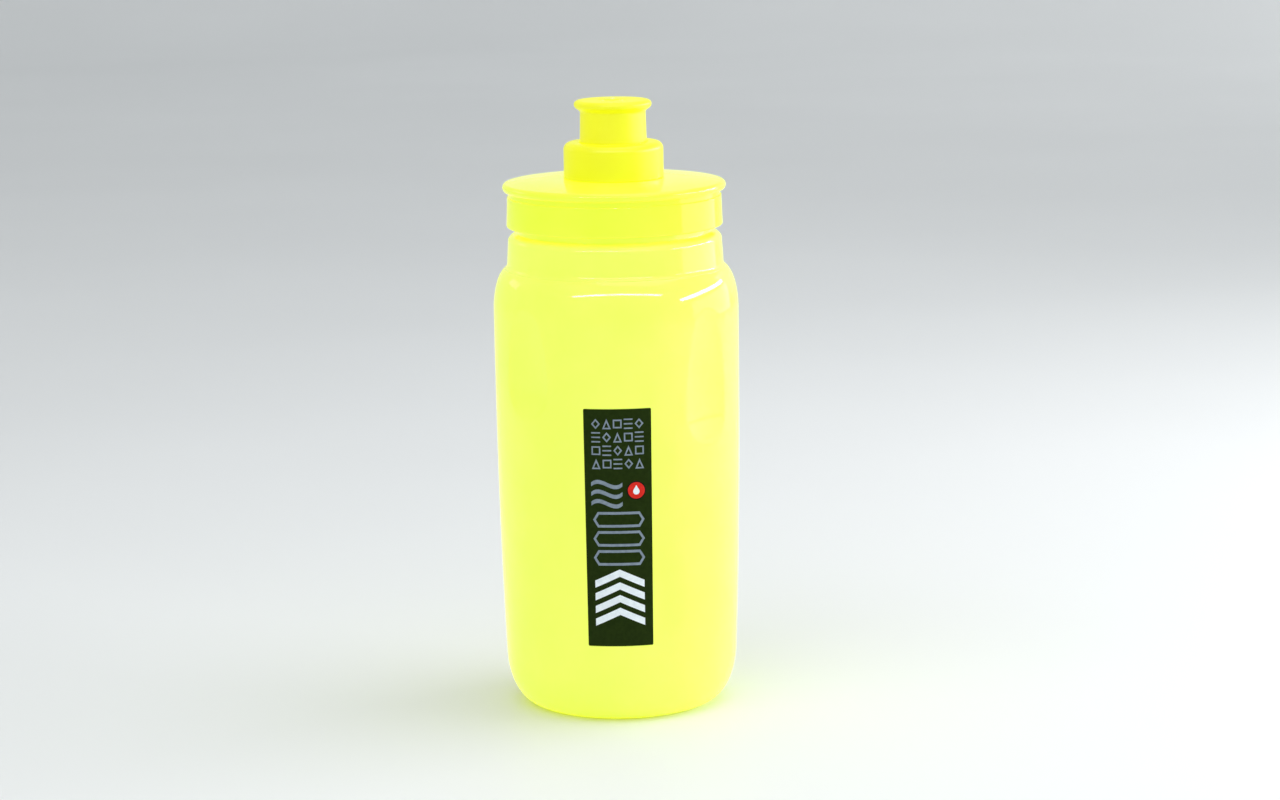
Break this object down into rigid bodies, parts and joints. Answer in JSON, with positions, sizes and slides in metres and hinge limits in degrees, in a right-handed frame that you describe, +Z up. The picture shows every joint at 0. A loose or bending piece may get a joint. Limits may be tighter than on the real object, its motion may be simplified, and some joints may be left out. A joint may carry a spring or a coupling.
{
  "type": "water bottle",
  "caption": "Translucent squeeze water bottle for a bicycle cage, with a flanged screw lid, a push-pull spout and a printed upright label.",
  "frame": {"origin": "on the bottle's axis, at the level of the foot ring that it stands on", "axes": "+Z up along the bottle's axis to the spout; -Y is the side with the printed label"},
  "size_m": [0.074, 0.0741, 0.1845],
  "materials": {
    "body_plastic": "glossy translucent polyethylene",
    "lid_plastic": "satin translucent polyethylene",
    "nozzle_plastic": "satin opaque plastic",
    "mouthpiece_soft": "soft matte elastomer",
    "plug_plastic": "satin plastic",
    "gasket_rubber": "soft silicone",
    "print_dark": "satin ink",
    "print_grey": "satin ink",
    "print_black": "satin ink",
    "print_red": "satin ink",
    "print_white": "satin ink"
  },
  "bodies": {
    "bottle": {"bottle_body": "body_plastic", "label_panel": "print_dark", "label_rows": "print_grey", "label_waves": "print_grey", "label_badge": "print_black", "label_disc": "print_red", "label_drop": "print_white", "label_hexagons": "print_grey", "label_chevrons": "print_white"},
    "seal": {"lid_gasket": "gasket_rubber"},
    "lid": {"lid": "lid_plastic", "nozzle_collar": "nozzle_plastic", "valve_plug": "plug_plastic", "spout_seal": "gasket_rubber"},
    "spout": {"spout_core": "nozzle_plastic", "spout_mouthpiece": "mouthpiece_soft"}
  },
  "joints": [
    {"name": "lid_lift", "type": "slide", "parent": "bottle", "child": "seal", "axis": [0, 0, 1], "range_m": [0, 0.01015]},
    {"name": "lid_turn", "type": "hinge", "parent": "seal", "child": "lid", "pos_m": [0, 0, 0.155], "axis": [0, 0, 1], "range_deg": [0, 810]},
    {"name": "spout_pull", "type": "slide", "parent": "lid", "child": "spout", "axis": [0, 0, 1], "range_m": [0, 0.006]}
  ],
  "couplings": [
    {"joint": "lid_lift", "follows": "lid_turn", "m_per_rad": 0.0007162}
  ]
}
